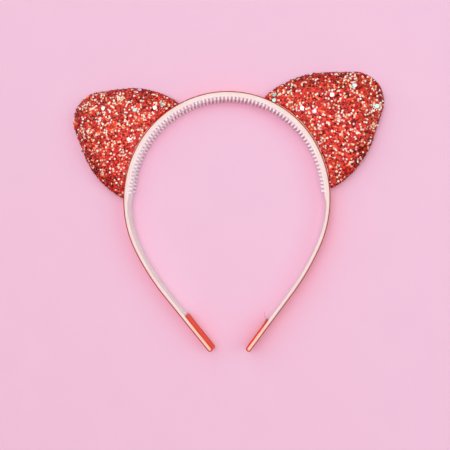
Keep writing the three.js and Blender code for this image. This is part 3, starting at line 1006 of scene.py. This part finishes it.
def flake_mesh(place, normal, radius, tilt, rng):
    """A closed six-sided foil flake at each place: its rim and a point just above and below."""
    count = len(place)
    lean = rng.normal(0, math.radians(tilt), (count, 3))
    axis = normal + np.tan(np.clip(lean, -0.9, 0.9))
    axis /= np.linalg.norm(axis, axis=1, keepdims=True)
    first = np.cross(axis, rng.normal(size=(count, 3)))
    first /= np.linalg.norm(first, axis=1, keepdims=True)
    second = np.cross(axis, first)
    turn = np.arange(6) * math.pi / 3
    uneven = radius[:, None] * rng.uniform(0.88, 1.08, (count, 6))
    rim = (
        place[:, None]
        + (uneven * np.cos(turn))[..., None] * first[:, None]
        + (uneven * np.sin(turn))[..., None] * second[:, None]
    )
    thick = FLAKE_HALF_THICKNESS * axis
    points = np.concatenate([rim, (place + thick)[:, None], (place - thick)[:, None]], 1)
    corner = np.arange(6)
    upper = np.stack([corner, (corner + 1) % 6, np.full(6, 6)], 1)
    lower = np.stack([(corner + 1) % 6, corner, np.full(6, 7)], 1)
    faces = np.concatenate([upper, lower])[None] + 8 * np.arange(count)[:, None, None]
    return points.reshape(-1, 3), faces.reshape(-1, 3)


def clumps(place, rng):
    """A power for the tone at each place, lower where pale flakes lie together."""
    waves = rng.normal(0, CLUMP_WAVE, (CLUMP_WAVES, 3))
    total = np.sin(place @ waves.T + rng.uniform(0, 6, CLUMP_WAVES)).sum(1)
    return TONE_POWER + CLUMPING * total / CLUMP_WAVES**0.5


def small_flakes(side, up, surface, look, rng):
    place, normal, row, column = scattered(surface, up, FLAKE_TRIES, rng)
    bare = (row < TURN_ROWS + 1) & (rng.random(len(row)) < BARE_BASE)
    place, normal, column = place[~bare], normal[~bare], column[~bare]
    kept = thinned(place, FLAKE_SPACING)
    place, normal, column = place[kept], normal[kept], column[kept]
    count = len(place)
    low, high = FLAKE_RADIUS
    to_seam = np.abs(2 * column / (COVER_COLUMNS - 2) - 1)
    radius = (low + (high - low) * rng.beta(2.0, 2.2, count)) * (1 - 0.3 * to_seam**12)
    # Tones are darker beside the seam: painted shade where the ear curves down.
    tone = rng.random(count) ** (clumps(place, rng) + SEAM_PAINTED_SHADE * to_seam**5)
    lift = FLAKE_LIFT + FLAKE_LIFT_SPREAD * rng.random((count, 1)) + PALE_LIFT * (tone > PALE_TONE)[:, None]
    place = place + lift * normal
    shape = flake_mesh(place, normal, radius, FLAKE_TILT, rng)
    return flake_piece(side, f"ear_{FACES[up]}_glitter", shape, look, tone, rng)


def flake_piece(side, name, shape, look, tone, rng):
    points, faces = shape
    faces = (faces if side > 0 else faces[:, ::-1]).tolist()
    points[:, 2] = np.maximum(points[:, 2], FLAKE_LOWEST)
    name = side_name(side, name)
    piece = make_mesh(name, points * (side, 1, 1), faces, look, smooth=False)
    add_values(piece, "tone", np.repeat(tone, 8))
    add_values(piece, "gloss", np.repeat(rng.random(len(tone)), 8))
    return piece


def large_flakes(side, up, surface, look, rng):
    if up > 0:
        row, across, tone = np.array(FRONT_LARGE_FLAKES[side]).T
        i = TURN_ROWS - 1 + np.rint(np.arcsin(row) / (math.pi / 2) * (COVER_ROWS - 1)).astype(int)
        j = np.rint(np.arccos(-across) / math.pi * (COVER_COLUMNS - 1)).astype(int)
        place, normal = surface[i, j], grid_normals(surface, up)[i, j]
    else:
        place, normal, row, _ = scattered(surface, up, 200, rng)
        kept = thinned(place, BACK_LARGE_FLAKE_SPACING)
        kept = kept[row[kept] > TURN_ROWS + 3][:BACK_LARGE_FLAKES]
        place, normal = place[kept], normal[kept]
        tone = rng.random(len(place))
    low, high = LARGE_FLAKE_RADIUS
    radius = rng.uniform(low, high, len(place))
    place = place + LARGE_FLAKE_LIFT * normal
    shape = flake_mesh(place, normal, radius, LARGE_FLAKE_TILT, rng)
    return flake_piece(side, f"ear_{FACES[up]}_large_flakes", shape, look, tone, rng)


SPONGE_SCALE = 0.87
SPONGE_EDGE = 0.3
SPONGE_FILL = 0.80
SPONGE_PITS = 0.10


def ear_sponge(side, look, rng):
    """The foam pad, with a torn, pitted skin."""
    rows, columns = 40, 60
    row = np.linspace(0, 1, rows)[:, None]
    across = -np.cos(np.linspace(0, math.pi, columns))[None]
    row, across = np.broadcast_arrays(row, across)
    u, v = ear_flat(row, across)
    v = EAR_CENTRE + (v - EAR_CENTRE) * SPONGE_SCALE
    faces = []
    for up in FACES:
        height = SPONGE_EDGE + SPONGE_FILL * swell(row, across, FULLNESS[up], FRONT_ROUNDNESS)
        height = height - SPONGE_PITS * rng.random(height.shape) * (height > 0.6)
        faces.append(ear_place(u * SPONGE_SCALE, v, MIDDLE + up * height))
    return make_piece(side, "ear_foam_pad", closed_sheet(*faces), look, "sponge")


STITCH_LENGTH = 2.2
STITCH_GAP = 0.5
STITCH_INSET = 0.94
STITCH_START = 0.06


def seam_stitches(side, look):
    """The running stitch just inside the seam, one short tube for each stitch."""
    share = np.linspace(STITCH_START, 1, 400)
    half = SEAM.point(share)
    line = np.concatenate([half * (-1, 1), half[::-1][1:]])
    line = np.stack([line[:, 0] * STITCH_INSET, EAR_CENTRE + (line[:, 1] - EAR_CENTRE) * STITCH_INSET], -1)
    distance = np.concatenate([[0], np.cumsum(np.linalg.norm(np.diff(line, axis=0), axis=1))])
    parts, along = [], []
    starts = np.arange(0, distance[-1] - STITCH_LENGTH, STITCH_LENGTH + STITCH_GAP)
    for start in starts:
        t = np.linspace(0, 1, 9)
        at = start + t * STITCH_LENGTH
        u, v = np.interp(at, distance, line[:, 0]), np.interp(at, distance, line[:, 1])
        z = MIDDLE + 0.12 * np.sin(math.pi * t) - 0.06
        parts.append(swept(tube(ear_place(u, v, z), STITCH_RADIUS, 7)))
        along.append(np.repeat(at, 7))
    along = np.concatenate(along)
    return make_piece(side, "ear_seam_stitches", join_parts(parts), look, "thread", along=along)


STRIP_REACH = 0.86  # of the ear's half base
FELT_LIFT = (0.50, 1.25)
FELT_FILL = 0.80  # of the height between the covers
FELT_ROUGHNESS = 0.05
GLUE_LIFT = (-0.01, 0.62)
GLUE_HALF_HEIGHTS = (0.5, 4.35)
GLUE_SPILL = (0.944, 0.1652, 0.0708)  # its mean share of the room, and how far that wanders
STITCH_RADIUS = 0.17


def base_felt(side, look, rng):
    """The felt strip between the covers' turned edges."""
    columns, rows = 90, 14
    across = np.linspace(-STRIP_REACH, STRIP_REACH, columns)[None]
    share = np.linspace(-1, 1, rows)[:, None]
    half = FELT_FILL * swell(0.0, across, BACK_FULLNESS, FRONT_ROUNDNESS)
    faces = []
    for lift in FELT_LIFT[::-1]:
        rough = FELT_ROUGHNESS * rng.random((rows, columns))
        flat = base_rise(across.repeat(rows, 0), (lift - rough)[..., None])
        faces.append(ear_place(flat[..., 0], flat[..., 1], MIDDLE + share * half))
    return make_piece(side, "ear_base_felt", closed_sheet(*faces), look, "felt")


def glue_bead(side, look, rng):
    """Hot glue between ribbon and felt, squeezed out unevenly at both edges."""
    columns, sides = 220, 16
    across = np.linspace(-STRIP_REACH, STRIP_REACH, columns)
    room = swell(0.0, across, BACK_FULLNESS, FRONT_ROUNDNESS) + COVER_EDGE
    ends = np.sqrt(np.clip((STRIP_REACH - np.abs(across)) / 0.06, 0.02, 1))
    mean, slow, quick = GLUE_SPILL
    spill = mean + slow * smooth_noise(rng, columns, 9) + quick * smooth_noise(rng, columns, 3)
    half = np.clip(room * spill, *GLUE_HALF_HEIGHTS) * ends
    turn = np.linspace(0, 2 * math.pi, sides, endpoint=False)
    wide = np.sign(np.cos(turn)) * np.abs(np.cos(turn)) ** 0.5
    thick = np.sign(np.sin(turn)) * np.abs(np.sin(turn)) ** 0.5
    low, high = GLUE_LIFT
    lift = (low + high) / 2 + (high - low) / 2 * thick[None] * np.ones((columns, 1))
    flat = base_rise(across[:, None].repeat(sides, 1), lift[..., None])
    rings = ear_place(flat[..., 0], flat[..., 1], MIDDLE + half[:, None] * wide[None])
    return make_piece(side, "ear_glue", swept(rings), look, "hot_glue")


# ---- Camera, light and floor ----

CAMERA_PLACE = (0.05611, -0.01437, 0.346)
CAMERA_TARGET = (-0.00126, -0.00598, 0.0)
CAMERA_RIGHT = (0.99924, -0.03899, 0.0)  # the table's direction that is level in the picture
CAMERA_LENS = 45.6


def make_camera():
    camera = bpy.data.objects.new("camera", bpy.data.cameras.new("camera"))
    camera.data.lens = CAMERA_LENS
    camera.data.clip_start = 0.01
    bpy.context.scene.collection.objects.link(camera)
    ahead = (Vector(CAMERA_TARGET) - Vector(CAMERA_PLACE)).normalized()
    right = Vector(CAMERA_RIGHT)
    right = (right - ahead * right.dot(ahead)).normalized()
    turn = Matrix((right, right.cross(ahead), -ahead)).transposed().to_4x4()
    camera.matrix_world = Matrix.Translation(CAMERA_PLACE) @ turn
    bpy.context.scene.camera = camera


def make_area_light(name, place, size, power, colour):
    """A rectangular light that faces the headband."""
    lamp = bpy.data.objects.new(name, bpy.data.lights.new(name, "AREA"))
    bpy.context.scene.collection.objects.link(lamp)
    lamp.data.shape = "RECTANGLE"
    lamp.data.size, lamp.data.size_y = size
    lamp.data.energy = power
    lamp.data.color = colour
    lamp.location = place
    lamp.rotation_mode = "QUATERNION"
    lamp.rotation_quaternion = (-Vector(place)).to_track_quat("-Z", "Y")


FLOOR = 2500.0  # half the floor's side, in millimetres
SKY = ((0.05, (0.80, 0.54, 0.68)), (0.35, (0.26, 0.234, 0.242)))  # (height, colour), low and high


def make_studio():
    """A plain pink floor, a sky that is brighter low down, and large soft lights beyond the crown, at
    the right and overhead."""
    corners = [(-FLOOR, -FLOOR, 0), (FLOOR, -FLOOR, 0), (FLOOR, FLOOR, 0), (-FLOOR, FLOOR, 0)]
    make_mesh("floor", corners, [(0, 1, 2, 3)], floor_look(), smooth=False)
    world = bpy.data.worlds.new("studio")
    world.use_nodes = True
    nodes, link = world.node_tree.nodes, world.node_tree.links.new
    split = nodes.new("ShaderNodeSeparateXYZ")
    link(nodes.new("ShaderNodeTexCoord").outputs["Generated"], split.inputs["Vector"])
    ramp = nodes.new("ShaderNodeValToRGB")
    for stop, (height, colour) in zip(ramp.color_ramp.elements, SKY):
        stop.position, stop.color = height, (*colour, 1.0)
    link(split.outputs["Z"], ramp.inputs["Fac"])
    link(ramp.outputs["Color"], nodes["Background"].inputs["Color"])
    bpy.context.scene.world = world
    make_area_light("key", (-0.75, 1.0, 1.35), (3.0, 2.0), 19.6, (0.52, 1.0, 0.95))
    make_area_light("right", (1.1, 0.1, 0.8), (1.0, 0.8), 6.0, (0.40, 1.0, 0.90))
    make_area_light("top", (0.02, 0.0, 1.6), (1.4, 1.4), 16.9, (1.0, 0.52, 0.60))
    bpy.context.scene.view_settings.view_transform = "Standard"


# ---- Assembly ----


def bend(piece, side):
    """Bakes the piece's placement into its mesh."""
    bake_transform(piece)


def build_band_half(side, looks, rng):
    band = half_band(side, looks["plastic"])
    bend(band, side)
    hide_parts(side_name(side, "arm_band"), "crown_band")
    ribbon = half_ribbon(side, looks["satin"], rng)
    bend(ribbon, side)
    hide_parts(side_name(side, "arm_ribbon"), "crown_ribbon")
    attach(frayed_end(side, looks["thread"], rng), side_name(side, "half"))


def build_ear(side, looks, rng):
    body = side_name(side, "half")
    pad = ear_sponge(side, looks["sponge"], rng)
    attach(pad, body)
    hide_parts(side_name(side, "ear_sponge"))
    for up in FACES:
        surface = relaxed(cover_surface(up, rng), up)
        cover = ear_cover(side, up, surface, looks["cloth"])
        small = small_flakes(side, up, surface, looks["flakes"], rng)
        large = large_flakes(side, up, surface, looks["iridescent"], rng)
        for piece in (cover, small, large):
            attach(piece, body)
        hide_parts(side_name(side, f"ear_{FACES[up]}_panel"))
    for piece, node in (
        (base_felt(side, looks["felt"], rng), "ear_base_strip"),
        (glue_bead(side, looks["glue"], rng), "ear_glue_bead"),
        (seam_stitches(side, looks["thread"]), "ear_seam_thread"),
    ):
        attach(piece, body)
        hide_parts(side_name(side, node))


def build_headband():
    looks = {
        "plastic": plastic_look(),
        "satin": satin_look(),
        "cloth": glitter_cloth_look(),
        "flakes": flake_look(),
        "iridescent": iridescent_look(),
        "felt": felt_look(),
        "sponge": sponge_look(),
        "glue": glue_look(),
        "thread": thread_look(),
    }
    for side, seed in ((1, 11), (-1, 12)):
        rng = np.random.default_rng(seed)
        build_band_half(side, looks, rng)
        build_ear(side, looks, rng)


make_camera()
make_studio()
build_headband()
